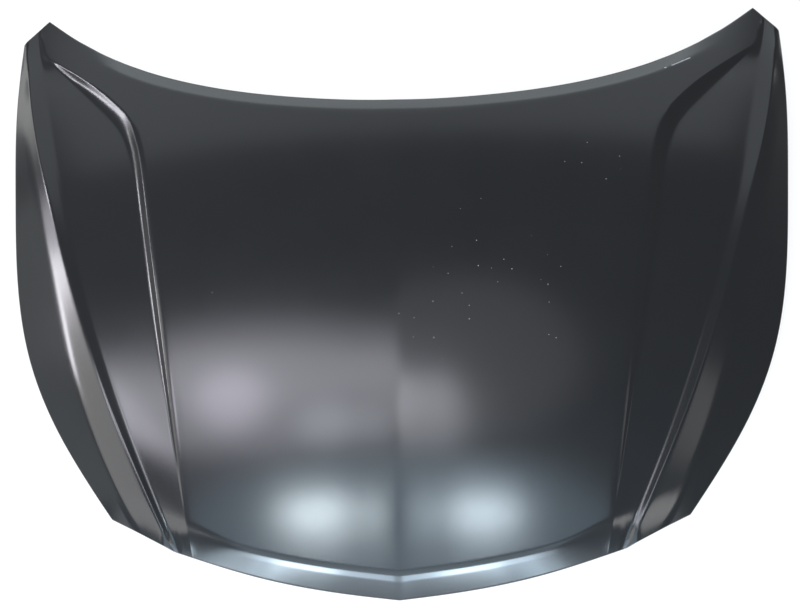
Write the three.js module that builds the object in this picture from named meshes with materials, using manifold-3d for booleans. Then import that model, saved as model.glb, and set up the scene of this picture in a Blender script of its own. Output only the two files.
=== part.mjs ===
import * as THREE from 'three';
import { mergeVertices } from 'three/addons/utils/BufferGeometryUtils.js';
import Module from 'manifold-3d';

const wasm = await Module();
wasm.setup();

// A car bonnet, outer side up. Millimetres, nose at -Y, cowl at +Y, both halves mirrored about X = 0.

// Overall size. The point lists below are drawn for a bonnet of drawnSize and scaled to it
const overallWidth = 1540;
const overallLength = 1189;
const drawnSize = [1540, 1189];
const acrossScale = overallWidth / drawnSize[0];
const alongScale = overallLength / drawnSize[1];
const acrossAlong = (points) => points.map(([x, y]) => [x * acrossScale, y * alongScale]);
const alongAcross = (points) => points.map(([y, x]) => [y * alongScale, x * acrossScale]);
const alongHeight = (points) => points.map(([y, z]) => [y * alongScale, z]);

// Outline seen from above, as [x, y], from the middle outwards
const noseEdge = acrossAlong([[0, -594.5], [112, -580.5], [254, -552.5], [404, -507]]);
const noseCornerSlope = 0.52;
const cowlEdge = acrossAlong([[0, 346], [195, 359], [354, 390], [522, 453], [657, 538], [722, 594.5]]);
const [rearCorner] = acrossAlong([[770, 540]]);

// Side edge and the lines pressed along it, as [y, x]
const sideEdge = alongAcross([
  [-446, 521], [-300, 621], [-155, 691], [-30, 724], [180, 750], [400, 768], [540, 770],
]);
const ridgeFoot = alongAcross([
  [-511, 392], [-410, 439], [-246, 509], [-30, 586], [207, 658], [412, 709], [560, 738],
]);
const ridgeTop = alongAcross([
  [-511, 403], [-427, 443], [-260, 520], [-65, 595], [129, 658], [342, 722], [540, 764],
]);
const flankTop = alongAcross([
  [-459, 478], [-371, 522], [-233, 578], [-72, 629], [132, 689], [337, 738], [540, 768],
]);

// Step round the raised middle field: its top edge and its foot, as [y, x]
const stepTop = alongAcross([
  [-594, 352], [-405, 386], [-252, 411], [-110, 434], [113, 472], [190, 485], [243, 495], [284, 506],
  [321, 519], [341, 531], [366, 554], [401, 590], [439, 636], [475, 683], [506, 718], [594, 738],
]);
const stepFoot = alongAcross([
  [-594, 355], [-400, 391], [-175, 437], [62, 482], [151, 498], [182, 504], [230, 515], [266, 526],
  [295, 541], [319, 559], [350, 587], [403, 634], [458, 682], [500, 715], [594, 741],
]);
const stepHeight = 8;
const stepFadesIn = [-500, -60];
const stepFadesOut = [430, 500];

// Heights of the outer surface over the floor, as [y, z]
const crestHeight = alongHeight([
  [-558.5, 44], [-340, 84.7], [-50, 114.6], [130, 117.8], [310, 108], [594, 64],
]);
const sideEdgeHeight = alongHeight([
  [-446, 2], [-233, 11], [0, 17], [130, 19], [300, 17], [437, 9], [540, 1],
]);
const ridgeFootDepth = alongHeight([
  [-511, 5], [-300, 6], [0, 5.5], [380, 5], [480, 2.5], [540, 1],
]);
const crownDrop = 63;
const crownHalfWidth = 724 * acrossScale;
const ridgeRise = 1;
const flankTopDepth = 6;
const centreCreaseRise = 1.2;
const centreCreaseHalfWidth = 90;

// Nose lip and cowl band
const lipDepth = 36;
const kinkHeight = 14;
const noseCornerHeight = 2;
const lipRadius = 9;
const lipSoftens = [270 * acrossScale, 400 * acrossScale];
const lipFlattens = [392 * acrossScale, 424 * acrossScale];
const cornerLipRadius = 30;
const cornerLipShare = 0.4;
const bandDepth = 29;
const bandDrop = 5;
const bandRadius = 7;
const bandFades = [470, 660];

// Half widths of the rounded creases
const stepTopRadius = 3;
const stepFootRadius = 6;
const ridgeFootRadius = 4;
const ridgeRadius = 2;
const flankRadius = 9;

// Sheet and hem
const skinThickness = 0.7;
const innerThickness = 0.8;
const clearance = 0.3;
const hemGap = 0.5;
const hemWidth = 12;
const foldWall = 1;
const flangeInset = 1.4;

// Pressed form of the inner panel, as depths below the outer surface
const landDepth = 4;
const channelDepth = 22;
const ribDepth = 16;
const ribFloorHalf = 15;
const ribTopHalf = 27;
const ribPlaces = [1 / 3, 2 / 3];
const crossRibPlaces = [0.36, 0.68];
const frontChannel = [24, 88, 108];
const rearChannelStart = 52;
const floorMargin = 9;
const shallowest = 2;
const cutoutRim = 14;
const cutoutCorner = 22;
const channelWall = 14;
const channelMiddle = 0.55;
const ridgeInset = 40;
const flankInset = 30;
const stepRows = acrossAlong([[0, 150], [400, 150], [505, 140], [600, 86], [720, 84]]);
const stepRowGap = 34;

// Hinge pads, each a flat-bottomed tray pressed into the side channel
const [hingePlace] = acrossAlong([[690, 372]]);
const hingePadSize = [46, 96];
const hingePadDepth = 5;
const hingeHoleSpacing = hingePadSize[1] - 42;

// Striker pad in the front channel
const strikerY = -478 * alongScale;
const strikerPadSize = [92, 46];
const strikerPadDepth = 3;
const strikerHoleSpacing = strikerPadSize[0] - 26;
const padWall = 3;

// Reinforcements, nuts, bolts and the striker
const reinforcementThickness = 2;
const reinforcementMargin = 4;
const boltHole = 9;
const threadBore = 8;
const nutWidth = 15;
const nutHeight = 6.5;
const boltShank = 7.2;
const boltHeadWidth = 13;
const boltHeadHeight = 5;
const strikerPlateThickness = 2.5;
const strikerPlateMargin = 3;
const loopWire = 7;
const loopWidth = 34;
const loopDrop = 21;
const loopBend = 8;

// Nose stiffener and mastic pads
const stiffenerThickness = 1;
const masticSize = [11, 26];
const masticClearance = 0.35;
const masticSides = 5;

const primer = { color: 0x17181b, roughness: 0.3, metalness: 0.1 };
const dullPrimer = { color: 0x1d1e20, roughness: 0.55, metalness: 0.1 };
const zinc = { color: 0xa9abad, roughness: 0.4, metalness: 0.9 };
const mastic = { color: 0x2c2b29, roughness: 0.9, metalness: 0 };

const bonnet = new THREE.Group();

function addMesh(name, geometry, finish) {
  const mesh = new THREE.Mesh(geometry, new THREE.MeshStandardMaterial(finish));
  mesh.name = name;
  bonnet.add(mesh);
  return mesh;
}

// Smooth curve through [t, value] points, straight beyond its ends
function curveThrough(points) {
  const count = points.length;
  const second = new Array(count).fill(0);
  const carry = new Array(count).fill(0);
  for (let i = 1; i < count - 1; i += 1) {
    const before = points[i][0] - points[i - 1][0];
    const after = points[i + 1][0] - points[i][0];
    const share = before / (before + after);
    const pivot = share * second[i - 1] + 2;
    const bend = (points[i + 1][1] - points[i][1]) / after - (points[i][1] - points[i - 1][1]) / before;
    second[i] = (share - 1) / pivot;
    carry[i] = (6 * bend / (before + after) - share * carry[i - 1]) / pivot;
  }
  for (let i = count - 2; i > 0; i -= 1) second[i] = second[i] * second[i + 1] + carry[i];
  second[0] = 0;
  const slopeAt = (i, end) => {
    const span = points[i + 1][0] - points[i][0];
    const rise = (points[i + 1][1] - points[i][1]) / span;
    return end ? rise + span * second[i] / 6 : rise - span * second[i + 1] / 6;
  };
  return (t) => {
    if (t <= points[0][0]) return points[0][1] + slopeAt(0, false) * (t - points[0][0]);
    const last = points[count - 1];
    if (t >= last[0]) return last[1] + slopeAt(count - 2, true) * (t - last[0]);
    let i = 0;
    while (points[i + 1][0] < t) i += 1;
    const span = points[i + 1][0] - points[i][0];
    const near = (points[i + 1][0] - t) / span;
    const far = 1 - near;
    const bow = (near ** 3 - near) * second[i] + (far ** 3 - far) * second[i + 1];
    return near * points[i][1] + far * points[i + 1][1] + bow * span * span / 6;
  };
}

const mirrored = (points) => [...points.slice(1).map(([x, y]) => [-x, y]).reverse(), ...points];
const mix = (a, b, share) => a + (b - a) * share;

function smoothStep(t, [start, end]) {
  const share = Math.min(Math.max((t - start) / (end - start), 0), 1);
  return share * share * (3 - 2 * share);
}

// Zero before a crease, rising one for one after it, with a parabola of this half width between
function softRamp(t, radius) {
  if (t <= -radius) return 0;
  return t >= radius ? t : (t + radius) ** 2 / (4 * radius);
}

const [kinkX, kinkY] = noseEdge.at(-1);
const [tipX, tipY] = cowlEdge.at(-1);
const noseCurve = curveThrough(noseEdge);
const cowlCurve = curveThrough(mirrored(cowlEdge));
const chamferWidth = rearCorner[0] - tipX;
const chamferSlope = (rearCorner[1] - tipY) / chamferWidth;
const frontY = (x) => (x < kinkX ? noseCurve(x) : kinkY + noseCornerSlope * (x - kinkX));
const rearY = (x) => (x < tipX ? cowlCurve(x) : tipY + chamferSlope * (x - tipX));
const edgeX = curveThrough(sideEdge);
const ridgeFootX = curveThrough(ridgeFoot);
const ridgeTopX = curveThrough(ridgeTop);
const flankTopX = curveThrough(flankTop);
const stepTopX = curveThrough(stepTop);
const stepFootX = curveThrough(stepFoot);
const crestZ = curveThrough(crestHeight);
const edgeZ = curveThrough(sideEdgeHeight);
const footDepth = curveThrough(ridgeFootDepth);

const crownedHeight = (x, y) => crestZ(y) - crownDrop * (x / crownHalfWidth) ** 2;

// Height added to the crowned surface across one section: step, ridge and flank
function sectionHeight(x, y) {
  const step = stepHeight * smoothStep(y, stepFadesIn) * (1 - smoothStep(y, stepFadesOut));
  const edge = edgeX(y);
  const flank = Math.min(flankTopX(y), edge - foldWall);
  const ridge = Math.min(ridgeTopX(y), flank - foldWall);
  const foot = Math.min(ridgeFootX(y), ridge - foldWall);
  const low = Math.min(stepFootX(y), foot - foldWall);
  const top = Math.min(stepTopX(y), low - foldWall);
  const knots = [
    [top, 0, stepTopRadius],
    [low, -step, stepFootRadius],
    [foot, -footDepth(y), ridgeFootRadius],
    [ridge, ridgeRise, ridgeRadius],
    [flank, -flankTopDepth * (1 - smoothStep(y, stepFadesOut)), flankRadius],
    [edge, edgeZ(y) - crownedHeight(edge, y), 0],
  ];
  let height = 0;
  let slope = 0;
  for (let i = 0; i < knots.length - 1; i += 1) {
    const [place, level, radius] = knots[i];
    const next = (knots[i + 1][1] - level) / (knots[i + 1][0] - place);
    height += (next - slope) * softRamp(x - place, radius);
    slope = next;
  }
  return height;
}

function lipEdgeHeight(x) {
  if (x < kinkX) return kinkHeight * (x / kinkX) ** 2;
  const cornerX = sideEdge[0][1];
  return mix(kinkHeight, noseCornerHeight, Math.min((x - kinkX) / (cornerX - kinkX), 1));
}

// Height of the outer surface at a place seen from above
function skinHeight(signedX, y) {
  const x = Math.abs(signedX);
  const open = (px, py) => crownedHeight(px, py) + sectionHeight(px, py);
  const front = frontY(x);
  let height = open(x, y);
  const peak = 1 - smoothStep(x, [0, centreCreaseHalfWidth]);
  height += centreCreaseRise * peak * (1 - x / centreCreaseHalfWidth);
  const share = mix(1, cornerLipShare, smoothStep(x, lipFlattens));
  const radius = mix(lipRadius, cornerLipRadius, smoothStep(x, lipSoftens));
  const lipDrop = (open(x, front) - lipEdgeHeight(x)) * share;
  height -= lipDrop * softRamp(front + lipDepth - y, radius) / lipDepth;
  const rear = rearY(x);
  const drop = bandDrop * (1 - smoothStep(x, bandFades));
  return height - drop * softRamp(y - (rear - bandDepth), bandRadius) / bandDepth;
}

const probe = 0.5;
function skinNormal(x, y) {
  const across = (skinHeight(x + probe, y) - skinHeight(x - probe, y)) / (2 * probe);
  const along = (skinHeight(x, y + probe) - skinHeight(x, y - probe)) / (2 * probe);
  return new THREE.Vector3(-across, -along, 1).normalize();
}

// Net of lines shared by both sheets. A column is x as a function of y, a row is y as a function of x.
const columns = [];
const rows = [];
const addColumn = (line, depth) => columns.push({ line, depth }) - 1;
const addRow = (line, depth) => rows.push({ line, depth }) - 1;

const fieldBendY = 250 * alongScale;
const fieldSpread = 0.3;
const fieldX = (y) => {
  const beyond = Math.max(y - fieldBendY, 0);
  return stepTopX(y - beyond) + fieldSpread * beyond;
};
const fieldFootX = (y) => fieldX(y) + channelWall;
const insideEdge = (y, inset) => edgeX(y) - inset;
const limited = (line, inset) => (y) => Math.min(line(y), insideEdge(y, inset));

// Between two ribs a bay runs from one line to the next, with a line along its middle
const bayColumns = [];
function addBay(lines, addLine, start, end) {
  lines.push([addLine(start, landDepth), addLine((t) => mix(start(t), end(t), 0.5), landDepth) + 1]);
  addLine(end, landDepth);
}

addColumn(() => 0, ribDepth);
addColumn(() => ribFloorHalf, ribDepth);
let bayEdge = () => ribTopHalf;
for (const place of ribPlaces) {
  const shifted = (shift) => (y) => place * fieldX(y) + shift;
  addBay(bayColumns, addColumn, bayEdge, shifted(-ribTopHalf));
  addColumn(shifted(-ribFloorHalf), ribDepth);
  addColumn(shifted(ribFloorHalf), ribDepth);
  bayEdge = shifted(ribTopHalf);
}
addBay(bayColumns, addColumn, bayEdge, fieldX);
addColumn(fieldFootX, landDepth);
addColumn((y) => mix(fieldFootX(y), limited(ridgeFootX, chamferWidth)(y), channelMiddle), landDepth);
addColumn(limited(ridgeFootX, chamferWidth), channelDepth);
addColumn(limited(ridgeTopX, ridgeInset), channelDepth);
addColumn(limited(flankTopX, flankInset), channelDepth);
addColumn((y) => insideEdge(y, hemWidth), 0);
addColumn(edgeX, 0);

const creaseY = (x) => frontY(x) + lipDepth;
const stepRowDistance = curveThrough(stepRows);
const rowBehindStep = (x) => rearY(x) - stepRowDistance(x);
const rowBeforeStep = (x) => rowBehindStep(x) - stepRowGap;
const bayStart = (x) => creaseY(x) + frontChannel[2];
const bayRow = (share, shift) => (x) => mix(bayStart(x), rowBeforeStep(x), share) + shift;

addRow(frontY, 0);
addRow((x) => frontY(x) + hemWidth, 0);
const creaseRow = addRow(creaseY, landDepth);
addRow((x) => creaseY(x) + frontChannel[0], channelDepth);
addRow((x) => creaseY(x) + frontChannel[1], channelDepth);
const bayRows = [];
let bayFront = bayStart;
for (const place of crossRibPlaces) {
  addBay(bayRows, addRow, bayFront, bayRow(place, -ribTopHalf));
  addRow(bayRow(place, -ribFloorHalf), ribDepth);
  addRow(bayRow(place, ribFloorHalf), ribDepth);
  bayFront = bayRow(place, ribTopHalf);
}
addBay(bayRows, addRow, bayFront, rowBeforeStep);
addRow(rowBehindStep, channelDepth);
addRow((x) => rearY(x) - rearChannelStart, channelDepth);
addRow((x) => rearY(x) - bandDepth, landDepth);
addRow((x) => rearY(x) - hemWidth, 0);
addRow(rearY, 0);

// Where a column crosses a row, by halving
function crossing(column, row) {
  let low = 0;
  let high = 800;
  for (let i = 0; i < 40; i += 1) {
    const middle = (low + high) / 2;
    if (middle < column.line(row.line(middle))) low = middle;
    else high = middle;
  }
  return [low, row.line(low)];
}

const half = columns.length - 1;
const lastColumn = 2 * half;
const lastRow = rows.length - 1;

// The panel is shallower near the rear corners, where the skin comes down to the floor
function depthAt(column, row, skinZ) {
  if (column.depth === 0 || row.depth === 0) return 0;
  return Math.min(Math.max(column.depth, row.depth), Math.max(skinZ - floorMargin, shallowest));
}

const net = [];
for (let j = 0; j <= lastRow; j += 1) {
  net.push([]);
  for (let i = 0; i <= lastColumn; i += 1) {
    const column = columns[Math.abs(i - half)];
    const [x, y] = crossing(column, rows[j]);
    const signedX = i < half ? -x : x;
    const place = new THREE.Vector3(signedX, y, skinHeight(signedX, y));
    net[j].push({ place, normal: skinNormal(signedX, y), depth: depthAt(column, rows[j], place.z) });
  }
}

const clampIndex = (value, last) => Math.min(Math.max(value, 1), last - 1);

// A point of the net at a depth below the outer surface, pulled in from the edge by an inset
function netPoint(i, j, depth, inset) {
  const node = net[j][i];
  const inner = net[clampIndex(j, lastRow)][clampIndex(i, lastColumn)];
  const share = inset / hemWidth;
  const place = node.place.clone().lerp(inner.place, share);
  const normal = node.normal.clone().lerp(inner.normal, share).normalize();
  return place.addScaledVector(normal, -depth);
}

class SolidBuilder {
  constructor() {
    this.points = [];
    this.faces = [];
  }

  point(place) {
    this.points.push(place.x, place.y, place.z);
    return this.points.length / 3 - 1;
  }

  quad(a, b, c, d) {
    this.faces.push(a, b, c, a, c, d);
  }

  // Cells of a grid of points; those before the turn are split along the other diagonal
  grid(points, upward, turn) {
    for (let j = 0; j < points.length - 1; j += 1) {
      for (let i = 0; i < points[j].length - 1; i += 1) {
        if (points[j][i] === null || points[j + 1][i + 1] === null) continue;
        if (points[j][i + 1] === null || points[j + 1][i] === null) continue;
        const ring = [points[j][i], points[j][i + 1], points[j + 1][i + 1], points[j + 1][i]];
        if (i < turn) ring.push(ring.shift());
        if (upward) this.quad(...ring);
        else this.quad(ring[0], ring[3], ring[2], ring[1]);
      }
    }
  }

  band(upper, lower) {
    for (let k = 0; k < upper.length; k += 1) {
      const next = (k + 1) % upper.length;
      this.quad(upper[k], lower[k], lower[next], upper[next]);
    }
  }

  geometry() {
    const shape = new THREE.BufferGeometry();
    shape.setAttribute('position', new THREE.Float32BufferAttribute(this.points, 3));
    shape.setIndex(this.faces);
    shape.computeVertexNormals();
    return shape;
  }
}

// Net places round a rectangle of the net, anticlockwise seen from above
function rim(i0, j0, i1, j1) {
  const ring = [];
  for (let i = i0; i < i1; i += 1) ring.push([i, j0]);
  for (let j = j0; j < j1; j += 1) ring.push([i1, j]);
  for (let i = i1; i > i0; i -= 1) ring.push([i, j1]);
  for (let j = j1; j > j0; j -= 1) ring.push([i0, j]);
  return ring;
}

// Sheet over a rectangle of the net, from its upper and lower points
function sheetOnNet([i0, j0, i1, j1], upperPoint, lowerPoint) {
  const builder = new SolidBuilder();
  const upper = [];
  const lower = [];
  for (let j = j0; j <= j1; j += 1) {
    upper.push([]);
    lower.push([]);
    for (let i = i0; i <= i1; i += 1) {
      upper[j - j0].push(builder.point(upperPoint(i, j)));
      lower[j - j0].push(builder.point(lowerPoint(i, j)));
    }
  }
  builder.grid(upper, true, half - i0);
  builder.grid(lower, false, half - i0);
  const ring = rim(0, 0, i1 - i0, j1 - j0);
  const along = (net) => ring.map(([i, j]) => net[j][i]);
  return { builder, upperRing: along(upper), lowerRing: along(lower) };
}

const flangeTop = skinThickness + hemGap;
const returnTop = flangeTop + innerThickness + hemGap;
const returnBottom = returnTop + skinThickness;
const fullNet = [0, 0, lastColumn, lastRow];
const onEdge = (i, j) => i === 0 || j === 0 || i === lastColumn || j === lastRow;

// One face of the hem's return: only the cells along the edge
function hemFace(builder, depth, edgeInset) {
  const innermost = (i, j) => i > 1 && j > 1 && i < lastColumn - 1 && j < lastRow - 1;
  return net.map((row, j) => row.map((node, i) => (
    innermost(i, j) ? null : builder.point(netPoint(i, j, depth, onEdge(i, j) ? edgeInset : 0))
  )));
}

// Outer skin: the sheet, its fold, and the hem's return under the inner panel's flange
function makeOuterSkin() {
  const { builder, upperRing, lowerRing } = sheetOnNet(
    fullNet,
    (i, j) => netPoint(i, j, 0, 0),
    (i, j) => netPoint(i, j, skinThickness, onEdge(i, j) ? foldWall : 0),
  );
  const under = hemFace(builder, returnBottom, 0);
  const over = hemFace(builder, returnTop, foldWall);
  builder.grid(under, false, half);
  builder.grid(over, true, half);
  const along = (face, ring) => ring.map(([i, j]) => face[j][i]);
  const outerRim = rim(...fullNet);
  const innerRim = rim(1, 1, lastColumn - 1, lastRow - 1);
  builder.band(upperRing, along(under, outerRim));
  builder.band(along(under, innerRim), along(over, innerRim));
  builder.band(along(over, outerRim), lowerRing);
  return builder.geometry();
}

// Upper points of the inner panel: the flange against the skin, then lands, ribs and channels
function innerUpper(i, j) {
  const place = netPoint(i, j, flangeTop, onEdge(i, j) ? flangeInset : 0);
  const extra = net[j][i].depth;
  if (extra > 0) place.z -= extra - flangeTop;
  return place;
}

function gridNormal(pointAt, i, j) {
  const i0 = Math.max(i - 1, 0);
  const i1 = Math.min(i + 1, lastColumn);
  const j0 = Math.max(j - 1, 0);
  const j1 = Math.min(j + 1, lastRow);
  const sum = new THREE.Vector3();
  const here = pointAt(i, j);
  const around = [[i1, j], [i, j1], [i0, j], [i, j0]];
  for (let k = 0; k < 4; k += 1) {
    const a = pointAt(...around[k]).sub(here);
    const b = pointAt(...around[(k + 1) % 4]).sub(here);
    const face = a.cross(b);
    if (face.length() > 0) sum.add(face.normalize());
  }
  return sum.normalize();
}

function innerLower(i, j) {
  const flange = net[j][i].depth === 0;
  if (flange) return netPoint(i, j, flangeTop + innerThickness, onEdge(i, j) ? flangeInset : 0);
  return innerUpper(i, j).addScaledVector(gridNormal(innerUpper, i, j), -innerThickness);
}

function toManifold(geometry) {
  const bare = geometry.clone();
  bare.deleteAttribute('normal');
  bare.deleteAttribute('uv');
  const merged = mergeVertices(bare);
  return new wasm.Manifold(new wasm.Mesh({
    numProp: 3,
    vertProperties: new Float32Array(merged.attributes.position.array),
    triVerts: new Uint32Array(merged.index.array),
  }));
}

function fromManifold(solid) {
  const mesh = solid.getMesh();
  const shape = new THREE.BufferGeometry();
  shape.setAttribute('position', new THREE.BufferAttribute(new Float32Array(mesh.vertProperties), 3));
  shape.setIndex(Array.from(mesh.triVerts));
  shape.computeVertexNormals();
  return shape;
}

const cornerSegments = 3;
const roundSegments = 8;

function roundedOutline(corners, radius) {
  const shape = new THREE.Shape();
  corners.forEach((corner, k) => {
    const before = corners[(k + corners.length - 1) % corners.length];
    const after = corners[(k + 1) % corners.length];
    const start = corner.clone().add(before.clone().sub(corner).setLength(radius));
    const end = corner.clone().add(after.clone().sub(corner).setLength(radius));
    if (k === 0) shape.moveTo(start.x, start.y);
    else shape.lineTo(start.x, start.y);
    shape.quadraticCurveTo(corner.x, corner.y, end.x, end.y);
  });
  shape.closePath();
  return shape;
}

function rectangle(width, length, radius) {
  const corners = [[-1, -1], [1, -1], [1, 1], [-1, 1]];
  return roundedOutline(corners.map(([x, y]) => new THREE.Vector2(x * width / 2, y * length / 2)), radius);
}

function extrude(shape, from, to, curveSegments = cornerSegments) {
  const solid = new THREE.ExtrudeGeometry(shape, { depth: to - from, bevelEnabled: false, curveSegments });
  return solid.translate(0, 0, from);
}

function circlePath(x, y, diameter) {
  const path = new THREE.Path();
  path.absarc(x, y, diameter / 2, 0, 2 * Math.PI, true);
  return path;
}

// Cut-outs of the inner panel, one in each bay between ribs
function cutoutShapes() {
  const shapes = [];
  for (const [j0, j1] of bayRows) {
    for (const [near, far] of bayColumns) {
      for (const side of [-1, 1]) {
        const left = side < 0 ? half - far : half + near;
        const right = side < 0 ? half - near : half + far;
        const ring = [[left, j0, 1, 1], [right, j0, -1, 1], [right, j1, -1, -1], [left, j1, 1, -1]];
        const corners = ring.map(([i, j, sx, sy]) => {
          const { x, y } = net[j][i].place;
          return new THREE.Vector2(x + sx * cutoutRim, y + sy * cutoutRim);
        });
        shapes.push(roundedOutline(corners, cutoutCorner));
      }
    }
  }
  return shapes;
}

const farBelow = -60;
const farAbove = 160;

// Solid of everything under the inner panel's upper side
function makeSpaceUnderInner() {
  const { builder, upperRing, lowerRing } = sheetOnNet(
    fullNet,
    innerUpper,
    (i, j) => innerUpper(i, j).setZ(farBelow),
  );
  builder.band(upperRing, lowerRing);
  return toManifold(builder.geometry());
}

// Frame of a pad: its middle on the inner panel's floor, its Z along the surface normal
function padFrame(x, y, depth) {
  const normal = skinNormal(x, y);
  if (x === 0) normal.setX(0).normalize();
  const across = new THREE.Vector3(0, 1, 0).cross(normal).normalize();
  const along = normal.clone().cross(across);
  const middle = new THREE.Vector3(x, y, skinHeight(x, y) - depth);
  return new THREE.Matrix4().makeBasis(across, along, normal).setPosition(middle);
}

const hingeFrame = (side) => padFrame(side * hingePlace[0], hingePlace[1], channelDepth);
const strikerFrame = padFrame(0, strikerY, channelDepth);
const holePair = (spacing, lengthwise) => [-1, 1].map((side) => (
  lengthwise ? [0, side * spacing / 2] : [side * spacing / 2, 0]
));
const hingeHoles = holePair(hingeHoleSpacing, true);
const strikerHoles = holePair(strikerHoleSpacing, false);
const pads = [
  { frame: hingeFrame(-1), size: hingePadSize, depth: hingePadDepth, holes: hingeHoles },
  { frame: hingeFrame(1), size: hingePadSize, depth: hingePadDepth, holes: hingeHoles },
  { frame: strikerFrame, size: strikerPadSize, depth: strikerPadDepth, holes: strikerHoles },
];

// Inner panel: the pressed sheet less its cut-outs, with a flat tray let in at each pad
function makeInnerPanel() {
  const { builder, upperRing, lowerRing } = sheetOnNet(fullNet, innerUpper, innerLower);
  builder.band(upperRing, lowerRing);
  let panel = toManifold(builder.geometry());
  for (const shape of cutoutShapes()) {
    panel = panel.subtract(toManifold(extrude(shape, farBelow, farAbove)));
  }
  const underInner = makeSpaceUnderInner();
  const wall = innerThickness;
  for (const { frame, size, depth, holes } of pads) {
    const [width, length] = size;
    const placed = (shape, from, to) => toManifold(extrude(shape, from, to).applyMatrix4(frame));
    const outside = rectangle(width + 2 * wall, length + 2 * wall, padWall + wall);
    const reach = 40;
    const body = placed(outside, -depth - wall, reach);
    const hollow = placed(rectangle(width, length, padWall), -depth, reach + 1);
    const tray = body.subtract(hollow).intersect(underInner);
    const through = placed(rectangle(width + wall, length + wall, padWall), -reach, reach);
    panel = panel.subtract(through).add(tray);
    for (const [x, y] of holes) {
      const hole = new THREE.CylinderGeometry(boltHole / 2, boltHole / 2, reach, 16).rotateX(Math.PI / 2);
      panel = panel.subtract(toManifold(hole.translate(x, y, -depth).applyMatrix4(frame)));
    }
  }
  return fromManifold(panel);
}

function placeIn(frame, name, geometry, finish) {
  const mesh = addMesh(name, geometry, finish);
  mesh.applyMatrix4(frame);
}

function drilledPlate(width, length, radius, holes, diameter) {
  const plate = rectangle(width, length, radius);
  for (const [x, y] of holes) plate.holes.push(circlePath(x, y, diameter));
  return plate;
}

function hexagon(width) {
  const shape = new THREE.Shape();
  for (let k = 0; k < 6; k += 1) {
    const angle = k * Math.PI / 3;
    const radius = width / Math.sqrt(3);
    if (k === 0) shape.moveTo(radius, 0);
    else shape.lineTo(radius * Math.cos(angle), radius * Math.sin(angle));
  }
  shape.closePath();
  return shape;
}

function nutGeometry(x, y, base) {
  const shape = hexagon(nutWidth);
  shape.holes.push(circlePath(0, 0, threadBore));
  return extrude(shape, base, base + nutHeight, roundSegments).translate(x, y, 0);
}

// Reinforcement on a tray's floor with its weld nuts; returns the height of the nuts' seat
function addReinforcement(frame, name, size, depth, holes, nutNames) {
  const [width, length] = size.map((side) => side - 2 * clearance - reinforcementMargin);
  const base = -depth + clearance;
  const top = base + reinforcementThickness;
  const plate = drilledPlate(width, length, padWall, holes, boltHole);
  placeIn(frame, name, extrude(plate, base, top, roundSegments), dullPrimer);
  holes.forEach(([x, y], k) => placeIn(frame, nutNames[k], nutGeometry(x, y, top + clearance), zinc));
}

function addHingeSide(side, word) {
  const nutNames = [`hinge_nut_front_${word}`, `hinge_nut_rear_${word}`];
  const name = `hinge_reinforcement_${word}`;
  addReinforcement(hingeFrame(side), name, hingePadSize, hingePadDepth, hingeHoles, nutNames);
}

class LoopPath extends THREE.Curve {
  constructor(width, drop, top) {
    super();
    this.width = width;
    this.drop = drop;
    this.top = top;
  }

  getPoint(t, target = new THREE.Vector3()) {
    const bend = loopBend;
    const leg = this.drop - bend;
    const arc = Math.PI * bend / 2;
    const flat = this.width - 2 * bend;
    const total = 2 * leg + 2 * arc + flat;
    const x0 = this.width / 2;
    let run = t * total;
    if (run <= leg) return target.set(-x0, 0, this.top - run);
    run -= leg;
    if (run <= arc) {
      const turn = run / bend;
      return target.set(-x0 + bend * (1 - Math.cos(turn)), 0, this.top - leg - bend * Math.sin(turn));
    }
    run -= arc;
    if (run <= flat) return target.set(-x0 + bend + run, 0, this.top - this.drop);
    run -= flat;
    if (run <= arc) {
      const turn = run / bend;
      const z = this.top - this.drop + bend * (1 - Math.cos(turn));
      return target.set(x0 - bend * (1 - Math.sin(turn)), 0, z);
    }
    run -= arc;
    return target.set(x0, 0, this.top - leg + run);
  }
}

// Striker: plate bolted under the tray, and the bent wire loop welded to it
function addStriker() {
  addReinforcement(
    strikerFrame, 'striker_reinforcement', strikerPadSize, strikerPadDepth, strikerHoles,
    ['striker_nut_left', 'striker_nut_right'],
  );
  const plateTop = -strikerPadDepth - innerThickness - clearance;
  const plateBottom = plateTop - strikerPlateThickness;
  const [width, length] = strikerPadSize.map((side) => side - strikerPlateMargin);
  const plate = drilledPlate(width, length, padWall, strikerHoles, boltHole);
  placeIn(strikerFrame, 'striker_plate', extrude(plate, plateBottom, plateTop, roundSegments), zinc);
  const loop = new LoopPath(loopWidth, loopDrop, plateBottom - clearance);
  const wire = new THREE.Shape().absarc(0, 0, loopWire / 2, 0, 2 * Math.PI, false);
  const loopShape = new THREE.ExtrudeGeometry(wire, { extrudePath: loop, steps: 22, curveSegments: 5 });
  placeIn(strikerFrame, 'striker_loop', loopShape, zinc);
  const nutTop = -strikerPadDepth + 2 * clearance + reinforcementThickness + nutHeight;
  strikerHoles.forEach(([x, y], k) => {
    const headTop = plateBottom - clearance;
    const head = toManifold(extrude(hexagon(boltHeadWidth), headTop - boltHeadHeight, headTop));
    const shankRound = new THREE.Shape().absarc(0, 0, boltShank / 2, 0, 2 * Math.PI, false);
    const shank = toManifold(extrude(shankRound, headTop - boltHeadHeight / 2, nutTop, roundSegments));
    const bolt = fromManifold(head.add(shank)).translate(x, y, 0);
    placeIn(strikerFrame, ['striker_bolt_left', 'striker_bolt_right'][k], bolt, zinc);
  });
}

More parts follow.
